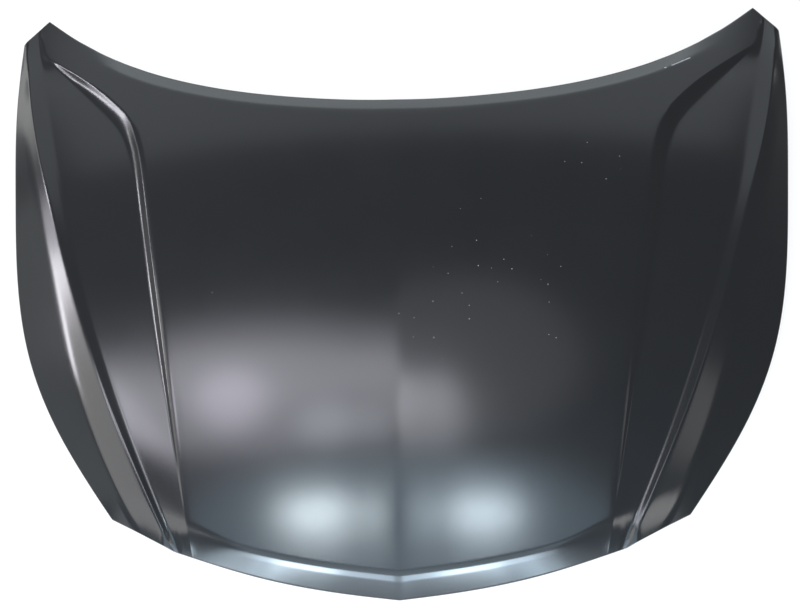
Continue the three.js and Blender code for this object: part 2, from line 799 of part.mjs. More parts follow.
// Nose stiffener: a plate close under the skin that bridges the front channel over the striker
function addNoseStiffener() {
  const upper = landDepth - clearance - stiffenerThickness;
  const depthPoint = (depth) => (i, j) => {
    const place = netPoint(i, j, 0, 0);
    place.z -= depth;
    return place;
  };
  const patch = [half - 6, creaseRow, half + 6, bayRows[0][0]];
  const lower = upper + stiffenerThickness;
  const { builder, upperRing, lowerRing } = sheetOnNet(patch, depthPoint(upper), depthPoint(lower));
  builder.band(upperRing, lowerRing);
  addMesh('nose_stiffener', builder.geometry(), dullPrimer);
}

// Mastic pads: small ovals on the lands beside the cut-outs, filling the space up to the skin
function addMasticPads() {
  const lowered = (depth) => (i, j) => {
    const place = netPoint(i, j, 0, 0);
    place.z -= depth;
    return place;
  };
  const ceiling = lowered(skinThickness + masticClearance);
  const space = sheetOnNet(fullNet, ceiling, lowered(landDepth - masticClearance));
  space.builder.band(space.upperRing, space.lowerRing);
  const betweenSheets = toManifold(space.builder.geometry());
  bayRows.forEach(([start], row) => {
    bayColumns.forEach(([near], column) => {
      for (const [side, word] of [[-1, 'left'], [1, 'right']]) {
        const { x, y } = net[start + 1][half + side * near].place;
        const oval = new THREE.Shape();
        oval.absellipse(x + side * cutoutRim / 2, y, masticSize[0] / 2, masticSize[1] / 2, 0, 2 * Math.PI);
        const pad = toManifold(extrude(oval, farBelow, farAbove, masticSides)).intersect(betweenSheets);
        addMesh(`mastic_pad_${word}_${row + 1}_${column + 1}`, fromManifold(pad), mastic);
      }
    });
  });
}

addMesh('outer_skin', makeOuterSkin(), primer);
addMesh('inner_panel', makeInnerPanel(), dullPrimer);
addHingeSide(-1, 'left');
addHingeSide(1, 'right');
addStriker();
addNoseStiffener();
addMasticPads();

// Stood on the floor, with the middle of its plan over the origin
const extent = new THREE.Box3().setFromObject(bonnet);
const middle = extent.getCenter(new THREE.Vector3());
bonnet.position.set(-middle.x, -middle.y, -extent.min.z);

export default bonnet;
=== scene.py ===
import math
import bpy
import numpy as np
from mathutils import Matrix, Vector


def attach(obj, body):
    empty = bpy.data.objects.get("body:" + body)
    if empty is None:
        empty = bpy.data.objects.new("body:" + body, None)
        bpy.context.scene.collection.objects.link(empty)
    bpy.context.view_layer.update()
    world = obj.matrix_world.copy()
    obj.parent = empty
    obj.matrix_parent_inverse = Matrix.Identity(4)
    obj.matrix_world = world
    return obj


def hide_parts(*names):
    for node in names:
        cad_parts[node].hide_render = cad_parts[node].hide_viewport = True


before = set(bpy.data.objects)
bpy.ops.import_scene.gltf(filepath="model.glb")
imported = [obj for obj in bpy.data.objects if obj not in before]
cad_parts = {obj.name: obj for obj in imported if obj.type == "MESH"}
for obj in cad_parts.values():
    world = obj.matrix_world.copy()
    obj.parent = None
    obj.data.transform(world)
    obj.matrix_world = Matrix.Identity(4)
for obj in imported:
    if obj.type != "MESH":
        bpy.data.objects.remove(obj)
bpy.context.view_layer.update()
mm = 0.001


def mix(a, b, share):
    return a + (b - a) * share


# Form of the bonnet, in millimetres: nose at -Y, cowl at +Y, halves mirrored about X = 0
form = {
    "noseEdge": [(0, -594.5), (112, -580.5), (254, -552.5), (404, -507)],
    "noseCornerSlope": 0.52,
    "noseCornerX": 521,
    "cowlEdge": [(0, 346), (195, 359), (354, 390), (522, 453), (657, 538), (722, 594.5)],
    "rearCorner": (770, 540),
    "sideEdge": [
        (-446, 521), (-300, 621), (-155, 691), (-30, 724), (180, 750), (400, 768), (540, 770),
    ],
    "ridgeFoot": [
        (-511, 392), (-410, 439), (-246, 509), (-30, 586), (207, 658), (412, 709), (560, 738),
    ],
    "ridgeTop": [
        (-511, 403), (-427, 443), (-260, 520), (-65, 595), (129, 658), (342, 722), (540, 764),
    ],
    "flankTop": [
        (-459, 478), (-371, 522), (-233, 578), (-72, 629), (132, 689), (337, 738), (540, 768),
    ],
    "stepTop": [
        (-594, 352), (-405, 386), (-252, 411), (-110, 434), (113, 472), (190, 485), (243, 495),
        (284, 506), (321, 519), (341, 531), (366, 554), (401, 590), (439, 636), (475, 683),
        (506, 718), (594, 738),
    ],
    "stepFoot": [
        (-594, 355), (-400, 391), (-175, 437), (62, 482), (151, 498), (182, 504), (230, 515),
        (266, 526), (295, 541), (319, 559), (350, 587), (403, 634), (458, 682), (500, 715),
        (594, 741),
    ],
    "stepHeight": 8,
    "stepFadesIn": (-500, -60),
    "stepFadesOut": (430, 500),
    "crestHeight": [(-558.5, 44), (-340, 84.7), (-50, 114.6), (130, 117.8), (310, 108), (594, 64)],
    "sideEdgeHeight": [
        (-446, 2), (-233, 11), (0, 17), (130, 19), (300, 17), (437, 9), (540, 1),
    ],
    "ridgeFootDepth": [(-511, 5), (-300, 6), (0, 5.5), (380, 5), (480, 2.5), (540, 1)],
    "crownDrop": 63,
    "crownHalfWidth": 724,
    "ridgeRise": 1,
    "flankTopDepth": 6,
    "creaseRise": 1.2,
    "creaseHalfWidth": 90,
    "lipDepth": 36,
    "kinkHeight": 14,
    "noseCornerHeight": 2,
    "lipRadius": 9,
    "lipSoftens": (270, 400),
    "lipFlattens": (392, 424),
    "cornerLipRadius": 30,
    "cornerLipShare": 0.4,
    "bandDepth": 29,
    "bandDrop": 5,
    "bandRadius": 7,
    "bandFades": (470, 660),
    "stepTopRadius": 3,
    "stepSteepShare": 0.62,
    "ridgeFootRadius": 4,
    "ridgeRadius": 2,
    "flankRadius": 9,
    "smallestStrip": 1,
    "smallestRadius": 1e-6,
    "normalProbe": 0.4,
}


def curveThrough(points):  # smooth curve through the points, straight beyond its ends
    t, v = np.array(points, float).T
    h = np.diff(t)
    last = len(t) - 1
    system = np.eye(last + 1)
    bends = np.zeros(last + 1)
    for i in range(1, last):
        system[i, i - 1:i + 2] = h[i - 1], 2 * (h[i - 1] + h[i]), h[i]
        bends[i] = 6 * ((v[i + 1] - v[i]) / h[i] - (v[i] - v[i - 1]) / h[i - 1])
    m = np.linalg.solve(system, bends)
    startSlope = (v[1] - v[0]) / h[0] - h[0] * m[1] / 6
    endSlope = (v[-1] - v[-2]) / h[-1] + h[-1] * m[-2] / 6

    def at(q):
        q = np.asarray(q, float)
        i = np.clip(np.searchsorted(t, q) - 1, 0, last - 1)
        near = (t[i + 1] - np.clip(q, t[0], t[-1])) / h[i]
        far = 1 - near
        bow = (near ** 3 - near) * m[i] + (far ** 3 - far) * m[i + 1]
        beyond = startSlope * np.minimum(q - t[0], 0) + endSlope * np.maximum(q - t[-1], 0)
        return near * v[i] + far * v[i + 1] + bow * h[i] ** 2 / 6 + beyond

    return at


def smoothStep(t, limits):
    share = np.clip((t - limits[0]) / (limits[1] - limits[0]), 0, 1)
    return share * share * (3 - 2 * share)


def softRamp(t, radius):  # zero before a crease, rising one for one after it, round between
    radius = np.maximum(radius, form["smallestRadius"])
    bend = (t + radius) ** 2 / (4 * radius)
    return np.where(t <= -radius, 0, np.where(t >= radius, t, bend))


mirroredCowl = [(-x, y) for x, y in form["cowlEdge"][:0:-1]] + form["cowlEdge"]
noseCurve = curveThrough(form["noseEdge"])
cowlCurve = curveThrough(mirroredCowl)
kinkX, kinkY = form["noseEdge"][-1]
tipX, tipY = form["cowlEdge"][-1]
chamferSlope = (form["rearCorner"][1] - tipY) / (form["rearCorner"][0] - tipX)
lines = {name: curveThrough(form[name]) for name in (
    "sideEdge", "ridgeFoot", "ridgeTop", "flankTop", "stepTop", "stepFoot",
    "crestHeight", "sideEdgeHeight", "ridgeFootDepth")}


def frontY(x):
    return np.where(x < kinkX, noseCurve(x), kinkY + form["noseCornerSlope"] * (x - kinkX))


def rearY(x):
    return np.where(x < tipX, cowlCurve(x), tipY + chamferSlope * (x - tipX))


def crownedHeight(x, y):
    return lines["crestHeight"](y) - form["crownDrop"] * (x / form["crownHalfWidth"]) ** 2


def sectionHeight(x, y):  # step, ridge and flank, added to the crowned surface
    fadeOut = 1 - smoothStep(y, form["stepFadesOut"])
    step = form["stepHeight"] * smoothStep(y, form["stepFadesIn"]) * fadeOut
    edge = lines["sideEdge"](y)
    strip = form["smallestStrip"]
    flank = np.minimum(lines["flankTop"](y), edge - strip)
    ridge = np.minimum(lines["ridgeTop"](y), flank - strip)
    foot = np.minimum(lines["ridgeFoot"](y), ridge - strip)
    low = np.minimum(lines["stepFoot"](y), foot - strip)
    top = np.minimum(lines["stepTop"](y), low - strip)
    face = low - top
    knots = [
        (top, 0 * y, form["stepTopRadius"]),
        (top + form["stepSteepShare"] * face, -step, (1 - form["stepSteepShare"]) * face),
        (foot, -lines["ridgeFootDepth"](y), form["ridgeFootRadius"]),
        (ridge, form["ridgeRise"] + 0 * y, form["ridgeRadius"]),
        (flank, -form["flankTopDepth"] * fadeOut, form["flankRadius"]),
        (edge, lines["sideEdgeHeight"](y) - crownedHeight(edge, y), 0),
    ]
    height = 0 * y
    slope = 0 * y
    for (place, level, radius), (nextPlace, nextLevel, _) in zip(knots, knots[1:]):
        steeper = (nextLevel - level) / (nextPlace - place)
        height = height + (steeper - slope) * softRamp(x - place, radius)
        slope = steeper
    return height


def lipEdgeHeight(x):
    outwards = np.clip((x - kinkX) / (form["noseCornerX"] - kinkX), 0, 1)
    inner = form["kinkHeight"] * (x / kinkX) ** 2
    return np.where(x < kinkX, inner, mix(form["kinkHeight"], form["noseCornerHeight"], outwards))


def skinHeight(signedX, y):
    x = np.abs(signedX)
    front = frontY(x)
    peak = (1 - smoothStep(x, (0, form["creaseHalfWidth"]))) * (1 - x / form["creaseHalfWidth"])
    height = crownedHeight(x, y) + sectionHeight(x, y) + form["creaseRise"] * peak
    lipShare = mix(1, form["cornerLipShare"], smoothStep(x, form["lipFlattens"]))
    lipDrop = (crownedHeight(x, front) + sectionHeight(x, front) - lipEdgeHeight(x)) * lipShare
    lipRadius = mix(form["lipRadius"], form["cornerLipRadius"], smoothStep(x, form["lipSoftens"]))
    inLip = softRamp(front + form["lipDepth"] - y, lipRadius)
    height = height - lipDrop * inLip / form["lipDepth"]
    drop = form["bandDrop"] * (1 - smoothStep(x, form["bandFades"]))
    inBand = softRamp(y - rearY(x) + form["bandDepth"], form["bandRadius"])
    return height - drop * inBand / form["bandDepth"]


def skinNormals(x, y):
    probe = form["normalProbe"]
    across = (skinHeight(x + probe, y) - skinHeight(x - probe, y)) / (2 * probe)
    along = (skinHeight(x, y + probe) - skinHeight(x, y - probe)) / (2 * probe)
    normals = np.stack([-across, -along, np.ones_like(across)], -1)
    return normals / np.linalg.norm(normals, axis=-1, keepdims=True)


# Net of the finished skin: how many cells lie between its key lines, and the gaps that keep
# those lines apart. The step rows are drawn as (x, y)
net = {
    "columnCells": (38, 8, 28, 4, 10, 10, 16, 4),
    "rowCells": (4, 14, 8, 66, 14, 30, 16, 6, 4),
    "fieldBend": 250,
    "fieldSpread": 0.3,
    "fieldStrip": 16,
    "hemWidth": 12,
    "footHalf": 2,
    "flankGap": 6,
    "footGap": 10,
    "behindLip": 24,
    "beforeBand": 30,
    "stepRowGap": 8,
    "bandStart": 10,
    "bandInner": 12,
    "widest": 800.0,
    "halvings": 34,
    "stepTopRow": [
        (0, 206), (200, 216), (400, 262), (505, 308), (562, 379), (599, 411), (635, 438),
        (716, 501), (770, 512),
    ],
    "stepFootRow": [
        (0, 176), (200, 184), (400, 216), (505, 258), (556, 320), (596, 366), (646, 419),
        (724, 492), (770, 498),
    ],
}


def columnLines(y):
    straight = lines["stepTop"](net["fieldBend"]) + net["fieldSpread"] * (y - net["fieldBend"])
    field = np.where(y < net["fieldBend"], lines["stepTop"](y), straight)
    strip = straight + net["fieldStrip"]
    inner = np.where(y < net["fieldBend"], lines["stepFoot"](y), strip)
    edge = lines["sideEdge"](y)
    hem = edge - net["hemWidth"]
    flank = np.minimum(lines["flankTop"](y), hem - net["flankGap"])
    ridge = np.minimum(lines["ridgeTop"](y), flank - net["flankGap"])
    foot = np.minimum(lines["ridgeFoot"](y), ridge - net["footGap"])
    half = net["footHalf"]
    return [0 * y, field, inner, foot - half, foot + half, ridge, flank, hem, edge]


stepTopRow = curveThrough(net["stepTopRow"])
stepFootRow = curveThrough(net["stepFootRow"])


def rowLines(x):
    front, rear = frontY(x), rearY(x)
    crease = front + form["lipDepth"]
    band = rear - form["bandDepth"]
    behind = np.minimum(stepTopRow(x), band - net["beforeBand"])
    before = np.minimum(stepFootRow(x), behind - net["stepRowGap"])
    return [front, front + net["hemWidth"], crease, crease + net["behindLip"], before, behind,
            band - net["bandStart"], band + net["bandInner"], rear - net["hemWidth"], rear]


def spread(cells):  # for each line of the net: the key line before it and how far to the next
    key = np.concatenate([np.full(count, k) for k, count in enumerate(cells)] + [[len(cells) - 1]])
    share = np.concatenate([np.arange(count) / count for count in cells] + [[1.0]])
    return key.astype(int), share


def crossNet(columnCells, rowCells):  # where the net's columns and rows cross, by halving
    columnKey, columnShare = spread(columnCells)
    rowKey, rowShare = spread(rowCells)
    jj, ii = np.meshgrid(np.arange(len(rowKey)), np.arange(len(columnKey)), indexing="ij")

    def between(keys, key, share):
        stack = np.stack([k + 0 * share for k in keys])
        low = np.take_along_axis(stack, key[None], 0)[0]
        high = np.take_along_axis(stack, key[None] + 1, 0)[0]
        return mix(low, high, share)

    low = np.zeros(ii.shape)
    high = np.full(ii.shape, net["widest"])
    for _ in range(net["halvings"]):
        middle = (low + high) / 2
        y = between(rowLines(middle), rowKey[jj], rowShare[jj])
        left = middle < between(columnLines(y), columnKey[ii], columnShare[ii])
        low = np.where(left, middle, low)
        high = np.where(left, high, middle)
    x = (low + high) / 2
    y = between(rowLines(x), rowKey[jj], rowShare[jj])
    x = np.concatenate([-x[:, :0:-1], x], 1)
    y = np.concatenate([y[:, :0:-1], y], 1)
    return x, y


def showMesh(name, points, faces, materials):
    mesh = bpy.data.meshes.new(name)
    mesh.from_pydata(points.tolist(), [], faces.tolist())
    mesh.update()
    mesh.shade_smooth()
    piece = bpy.data.objects.new(name, mesh)
    bpy.context.scene.collection.objects.link(piece)
    for material in materials:
        mesh.materials.append(material)
    return piece


# Edge of the finished skin: rolled round, with the hem's return and a slit over it
fold = {
    "sheet": 0.7,
    "hemDepth": 3.2,
    "hemSlit": 2.5,
    "rimRadius": 1.2,
    "slitInset": 1.2,
    "turns": (0, 30, 60, 90),
}


def gridFaces(ids, flipped=False):
    a, b, c, d = ids[:-1, :-1], ids[:-1, 1:], ids[1:, 1:], ids[1:, :-1]
    quads = np.stack([a, d, c, b] if flipped else [a, b, c, d], -1).reshape(-1, 4)
    return quads[(quads >= 0).all(1)]


def ringOf(grid, inset=0):
    last = [size - 1 - inset for size in grid.shape[:2]]
    return np.concatenate([
        grid[inset, inset:last[1]],
        grid[inset:last[0], last[1]],
        grid[last[0], last[1]:inset:-1],
        grid[last[0]:inset:-1, inset],
    ])


def placeRing(ids, ring):
    rows, columns = ids.shape
    places = [(0, i) for i in range(columns - 1)]
    places += [(j, columns - 1) for j in range(rows - 1)]
    places += [(rows - 1, i) for i in range(columns - 1, 0, -1)]
    places += [(j, 0) for j in range(rows - 1, 0, -1)]
    for (j, i), value in zip(places, ring):
        ids[j, i] = value


def bandFaces(upper, lower):
    return np.stack([upper, lower, np.roll(lower, -1), np.roll(upper, -1)], -1)


def makeSkin():
    x, y = crossNet(net["columnCells"], net["rowCells"])
    z = skinHeight(x, y)
    normals = skinNormals(x, y)
    top = np.stack([x, y, z], -1)
    rim = ringOf(top)
    rimNormals = ringOf(normals)
    along = np.roll(rim, -1, 0) - np.roll(rim, 1, 0)
    outward = np.cross(along, rimNormals)
    outward /= np.linalg.norm(outward, axis=1, keepdims=True)
    points = []
    count = 0

    def add(block):
        nonlocal count
        points.append(block.reshape(-1, 3))
        ids = np.arange(count, count + points[-1].shape[0]).reshape(block.shape[:-1])
        count += ids.size
        return ids

    def rolled(depth, inset):
        return rim - outward * inset - rimNormals * depth

    radius = fold["rimRadius"]
    turns = [math.radians(turn) for turn in fold["turns"]]
    inner = top[1:-1, 1:-1]
    topIds = np.full(x.shape, -1)
    topIds[1:-1, 1:-1] = add(inner)
    firstRing = add(rolled(0, radius))
    placeRing(topIds, firstRing)
    faces = [gridFaces(topIds)]
    ring = firstRing
    for turn in turns[1:]:
        lower = add(rolled(radius * (1 - math.cos(turn)), radius * (1 - math.sin(turn))))
        faces.append(bandFaces(ring, lower))
        ring = lower
    for turn in turns:
        drop = fold["hemDepth"] - radius * (1 - math.sin(turn))
        lower = add(rolled(drop, radius * (1 - math.cos(turn))))
        faces.append(bandFaces(ring, lower))
        ring = lower

    def hemBand(depth, outerRing, flipped):
        band = np.full(x.shape, -1)
        cells = net["rowCells"][0], net["columnCells"][-1], net["rowCells"][-1]
        keep = np.ones(x.shape, bool)
        keep[cells[0] + 1:-cells[2] - 1, cells[1] + 1:-cells[1] - 1] = False
        keep[[0, -1]] = False
        keep[:, [0, -1]] = False
        band[keep] = add((top - normals * depth)[keep])
        placeRing(band, outerRing)
        faces.append(gridFaces(band, flipped))
        innerCut = band[cells[0]:x.shape[0] - cells[2], cells[1]:x.shape[1] - cells[1]]
        return ringOf(innerCut)

    under = hemBand(fold["hemDepth"], ring, True)
    slitRing = add(rolled(fold["hemSlit"], fold["slitInset"]))
    over = hemBand(fold["hemSlit"], slitRing, False)
    faces.append(bandFaces(under, over))
    backIds = np.full(x.shape, -1)
    backIds[1:-1, 1:-1] = add(inner - normals[1:-1, 1:-1] * fold["sheet"])
    backRing = add(rolled(fold["sheet"], fold["slitInset"]))
    placeRing(backIds, backRing)
    faces.append(gridFaces(backIds, True))
    faces.append(bandFaces(slitRing, backRing))
    return np.concatenate(points), np.concatenate(faces)


def makeGroup(name, inputs, outputs):
    group = bpy.data.node_groups.new(name, "ShaderNodeTree")
    for label, kind, value in inputs:
        socket = group.interface.new_socket(label, in_out="INPUT", socket_type=kind)
        if value is not None:
            socket.default_value = value
    for label, kind in outputs:
        group.interface.new_socket(label, in_out="OUTPUT", socket_type=kind)
    return group, group.nodes.new("NodeGroupInput"), group.nodes.new("NodeGroupOutput")


def addNode(tree, kind, values=None, **settings):
    node = tree.nodes.new(kind)
    for key, value in settings.items():
        setattr(node, key, value)
    for key, value in (values or {}).items():
        node.inputs[key].default_value = value
    return node


def makeFinish(name, values):
    material = bpy.data.materials.new(name)
    material.use_nodes = True
    shader = material.node_tree.nodes["Principled BSDF"]
    for key, value in values.items():
        shader.inputs[key].default_value = value
    return material, shader


def link(tree, source, target):
    tree.links.new(source, target)


def speckGroup():  # pale specks of dust: one in some cells of a Voronoi pattern, round one centre
    group, entry, result = makeGroup(
        "dustSpecks",
        [("Position", "NodeSocketVector", None), ("Centre", "NodeSocketVector", None),
         ("Reach", "NodeSocketFloat", 0.1), ("Share", "NodeSocketFloat", 0.3),
         ("Cell", "NodeSocketFloat", 0.012), ("Size", "NodeSocketFloat", 0.001)],
        [("Mask", "NodeSocketFloat")])
    away = addNode(group, "ShaderNodeVectorMath", operation="DISTANCE")
    link(group, entry.outputs["Position"], away.inputs[0])
    link(group, entry.outputs["Centre"], away.inputs[1])
    nearness = addNode(group, "ShaderNodeMapRange", {"To Min": 1, "To Max": 0})
    link(group, away.outputs["Value"], nearness.inputs["Value"])
    link(group, entry.outputs["Reach"], nearness.inputs["From Max"])
    wanted = addNode(group, "ShaderNodeMath", operation="MULTIPLY")
    link(group, nearness.outputs[0], wanted.inputs[0])
    link(group, entry.outputs["Share"], wanted.inputs[1])
    perMetre = addNode(group, "ShaderNodeMath", {0: 1}, operation="DIVIDE")
    link(group, entry.outputs["Cell"], perMetre.inputs[1])
    cells = addNode(group, "ShaderNodeTexVoronoi", voronoi_dimensions="3D")
    link(group, entry.outputs["Position"], cells.inputs["Vector"])
    link(group, perMetre.outputs[0], cells.inputs["Scale"])
    chance = addNode(group, "ShaderNodeSeparateColor")
    link(group, cells.outputs["Color"], chance.inputs[0])
    chosen = addNode(group, "ShaderNodeMath", operation="LESS_THAN")
    link(group, chance.outputs[0], chosen.inputs[0])
    link(group, wanted.outputs[0], chosen.inputs[1])
    radius = addNode(group, "ShaderNodeMath", operation="DIVIDE")
    link(group, entry.outputs["Size"], radius.inputs[0])
    link(group, entry.outputs["Cell"], radius.inputs[1])
    dot = addNode(group, "ShaderNodeMapRange", {"To Min": 1, "To Max": 0},
                  interpolation_type="SMOOTHSTEP")
    link(group, cells.outputs["Distance"], dot.inputs["Value"])
    link(group, radius.outputs[0], dot.inputs["From Max"])
    mask = addNode(group, "ShaderNodeMath", operation="MULTIPLY")
    link(group, dot.outputs[0], mask.inputs[0])
    link(group, chosen.outputs[0], mask.inputs[1])
    link(group, mask.outputs[0], result.inputs["Mask"])
    return group


def scratchGroup():  # one straight scratch between two points, with a ragged edge
    group, entry, result = makeGroup(
        "scratch",
        [("Position", "NodeSocketVector", None), ("Start", "NodeSocketVector", None),
         ("Run", "NodeSocketVector", None), ("Width", "NodeSocketFloat", 0.001)],
        [("Mask", "NodeSocketFloat")])
    fromStart = addNode(group, "ShaderNodeVectorMath", operation="SUBTRACT")
    link(group, entry.outputs["Position"], fromStart.inputs[0])
    link(group, entry.outputs["Start"], fromStart.inputs[1])
    along = addNode(group, "ShaderNodeVectorMath", operation="DOT_PRODUCT")
    link(group, fromStart.outputs[0], along.inputs[0])
    link(group, entry.outputs["Run"], along.inputs[1])
    squared = addNode(group, "ShaderNodeVectorMath", operation="DOT_PRODUCT")
    link(group, entry.outputs["Run"], squared.inputs[0])
    link(group, entry.outputs["Run"], squared.inputs[1])
    share = addNode(group, "ShaderNodeMath", operation="DIVIDE", use_clamp=True)
    link(group, along.outputs["Value"], share.inputs[0])
    link(group, squared.outputs["Value"], share.inputs[1])
    nearest = addNode(group, "ShaderNodeVectorMath", operation="SCALE")
    link(group, entry.outputs["Run"], nearest.inputs[0])
    link(group, share.outputs[0], nearest.inputs["Scale"])
    off = addNode(group, "ShaderNodeVectorMath", operation="DISTANCE")
    link(group, fromStart.outputs[0], off.inputs[0])
    link(group, nearest.outputs[0], off.inputs[1])
    grain = addNode(group, "ShaderNodeTexNoise", {"Scale": 400, "Detail": 2})
    link(group, entry.outputs["Position"], grain.inputs["Vector"])
    ragged = addNode(group, "ShaderNodeMath", {1: 2}, operation="MULTIPLY")
    link(group, grain.outputs[0], ragged.inputs[0])
    width = addNode(group, "ShaderNodeMath", operation="MULTIPLY")
    link(group, entry.outputs["Width"], width.inputs[0])
    link(group, ragged.outputs[0], width.inputs[1])
    line = addNode(group, "ShaderNodeMapRange", {"To Min": 1, "To Max": 0},
                   interpolation_type="SMOOTHSTEP")
    link(group, off.outputs["Value"], line.inputs["Value"])
    link(group, width.outputs[0], line.inputs["From Max"])
    link(group, line.outputs[0], result.inputs["Mask"])
    return group


def mottleGroup():  # slow unevenness of a finish: one value around 1
    group, entry, result = makeGroup(
        "mottle",
        [("Position", "NodeSocketVector", None), ("Scale", "NodeSocketFloat", 12),
         ("Depth", "NodeSocketFloat", 0.1)],
        [("Value", "NodeSocketFloat")])
    cloud = addNode(group, "ShaderNodeTexNoise", {"Detail": 4, "Roughness": 0.6})
    link(group, entry.outputs["Position"], cloud.inputs["Vector"])
    link(group, entry.outputs["Scale"], cloud.inputs["Scale"])
    centred = addNode(group, "ShaderNodeMath", {1: 0.5}, operation="SUBTRACT")
    link(group, cloud.outputs[0], centred.inputs[0])
    value = addNode(group, "ShaderNodeMath", {2: 1}, operation="MULTIPLY_ADD")
    link(group, centred.outputs[0], value.inputs[0])
    link(group, entry.outputs["Depth"], value.inputs[1])
    link(group, value.outputs[0], result.inputs["Value"])
    return group


specks = speckGroup()
scratch = scratchGroup()
mottle = mottleGroup()


def useGroup(tree, group, position, values):
    node = addNode(tree, "ShaderNodeGroup", node_tree=group)
    for key, value in values.items():
        node.inputs[key].default_value = value
    link(tree, position, node.inputs["Position"])
    return node.outputs[0]


def mottledFinish(name, values, scale, depth):
    material, shader = makeFinish(name, values)
    tree = material.node_tree
    place = addNode(tree, "ShaderNodeTexCoord").outputs["Object"]
    cloud = useGroup(tree, mottle, place, {"Scale": scale, "Depth": depth})
    tone = addNode(tree, "ShaderNodeVectorMath", {0: values["Base Color"][:3]}, operation="SCALE")
    link(tree, cloud, tone.inputs["Scale"])
    link(tree, tone.outputs[0], shader.inputs["Base Color"])
    rough = addNode(tree, "ShaderNodeMath", {1: values["Roughness"]}, operation="MULTIPLY")
    link(tree, cloud, rough.inputs[0])
    link(tree, rough.outputs[0], shader.inputs["Roughness"])
    return material, shader, place


coat = {
    "finish": {"Base Color": (0.010, 0.0105, 0.0115, 1), "Roughness": 0.17, "IOR": 1.5},
    "mottleScale": 9,
    "mottleDepth": 0.2,
    "markColor": (0.42, 0.43, 0.45, 1),
    "markRoughness": 0.6,
    "grainScale": 900,
    "grainStrength": 0.02,
    "grainHeight": 0.0002,
    "dust": [
        {"Centre": (0.178, -0.03, 0.112), "Reach": 0.19, "Share": 0.55, "Cell": 0.013, "Size": 0.0013},
        {"Centre": (0.4, 0.217, 0.098), "Reach": 0.12, "Share": 0.4, "Cell": 0.015, "Size": 0.0013},
        {"Centre": (-0.005, -0.1, 0.114), "Reach": 0.07, "Share": 0.5, "Cell": 0.014, "Size": 0.0011},
        {"Centre": (-0.17, 0.1, 0.11), "Reach": 0.8, "Share": 0.09, "Cell": 0.02, "Size": 0.001},
    ],
    "scratches": [
        {"Start": (0.539, 0.4336, 0.0589), "Run": (0.0379, 0.0204, -0.0082), "Width": 0.0018},
        {"Start": (0.5245, 0.4264, 0.0618), "Run": (0.002, 0.001, 0), "Width": 0.0022},
    ],
}


def makeCoat():
    material, shader, place = mottledFinish(
        "darkPrimer", coat["finish"], coat["mottleScale"], coat["mottleDepth"])
    tree = material.node_tree
    marks = [useGroup(tree, specks, place, values) for values in coat["dust"]]
    marks += [useGroup(tree, scratch, place, values) for values in coat["scratches"]]
    mask = marks[0]
    for mark in marks[1:]:
        either = addNode(tree, "ShaderNodeMath", operation="MAXIMUM")
        link(tree, mask, either.inputs[0])
        link(tree, mark, either.inputs[1])
        mask = either.outputs[0]
    blends = (("Base Color", "RGBA", coat["markColor"], (6, 7, 2)),
              ("Roughness", "FLOAT", coat["markRoughness"], (2, 3, 0)))
    for socket, kind, value, (first, second, outcome) in blends:
        before = shader.inputs[socket].links[0].from_socket
        blend = addNode(tree, "ShaderNodeMix", {second: value}, data_type=kind)
        link(tree, mask, blend.inputs[0])
        link(tree, before, blend.inputs[first])
        link(tree, blend.outputs[outcome], shader.inputs[socket])
    grain = addNode(tree, "ShaderNodeTexNoise", {"Scale": coat["grainScale"], "Detail": 2})
    link(tree, place, grain.inputs["Vector"])
    bump = addNode(tree, "ShaderNodeBump", {
        "Strength": coat["grainStrength"], "Distance": coat["grainHeight"]})
    link(tree, grain.outputs[0], bump.inputs["Height"])
    link(tree, bump.outputs[0], shader.inputs["Normal"])
    return material


coatMaterial = makeCoat()

print("skin")
points, faces = makeSkin()
low = points.min(0)
high = points.max(0)
shift = np.array([-(low[0] + high[0]) / 2, -(low[1] + high[1]) / 2, -low[2]])
skin = showMesh("bonnetSkin", (points + shift) * mm, faces, [coatMaterial])
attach(skin, "root")
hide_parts("outer_skin")
print("skin faces", len(faces), "shift", shift.tolist(), "size", (high - low).tolist())

print("hidden side")
hiddenMottle = {"scale": 30, "depth": 0.25}
hidden = {
    "primer": {"Base Color": (0.02, 0.021, 0.023, 1), "Roughness": 0.5},
    "zinc": {"Base Color": (0.42, 0.43, 0.44, 1), "Roughness": 0.4, "Metallic": 0.9},
    "mastic": {"Base Color": (0.03, 0.029, 0.027, 1), "Roughness": 0.9},
}
finishes = {
    name: mottledFinish("hidden" + name.capitalize(), values, **hiddenMottle)[0]
    for name, values in hidden.items()
}
for name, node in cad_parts.items():
    if name == "outer_skin":
        continue
    kind = "primer"
    if name.startswith("mastic"):
        kind = "mastic"
    elif "nut" in name or "bolt" in name or name in ("striker_plate", "striker_loop"):
        kind = "zinc"
    node.data.materials.clear()
    node.data.materials.append(finishes[kind])

print("stage")
room = {"floorSize": 14, "floorColor": (0.9, 0.9, 0.9, 1), "floorGlow": 0.85}
bpy.ops.mesh.primitive_plane_add(size=room["floorSize"])
floor = bpy.context.object
floor.name = "floor"
floorFinish = {"Base Color": room["floorColor"], "Roughness": 0.9}
floorMaterial, floorShader = makeFinish("paleFloor", floorFinish)
floorTree = floorMaterial.node_tree
rays = addNode(floorTree, "ShaderNodeLightPath")
seen = addNode(floorTree, "ShaderNodeMath", operation="MAXIMUM")
link(floorTree, rays.outputs["Is Camera Ray"], seen.inputs[0])
link(floorTree, rays.outputs["Is Glossy Ray"], seen.inputs[1])
share = addNode(floorTree, "ShaderNodeMath", {1: room["floorGlow"]}, operation="MULTIPLY")
link(floorTree, seen.outputs[0], share.inputs[0])
glow = addNode(floorTree, "ShaderNodeEmission", {"Color": (1, 1, 1, 1), "Strength": 1})
floorMix = addNode(floorTree, "ShaderNodeMixShader")
link(floorTree, share.outputs[0], floorMix.inputs[0])
link(floorTree, floorShader.outputs[0], floorMix.inputs[1])
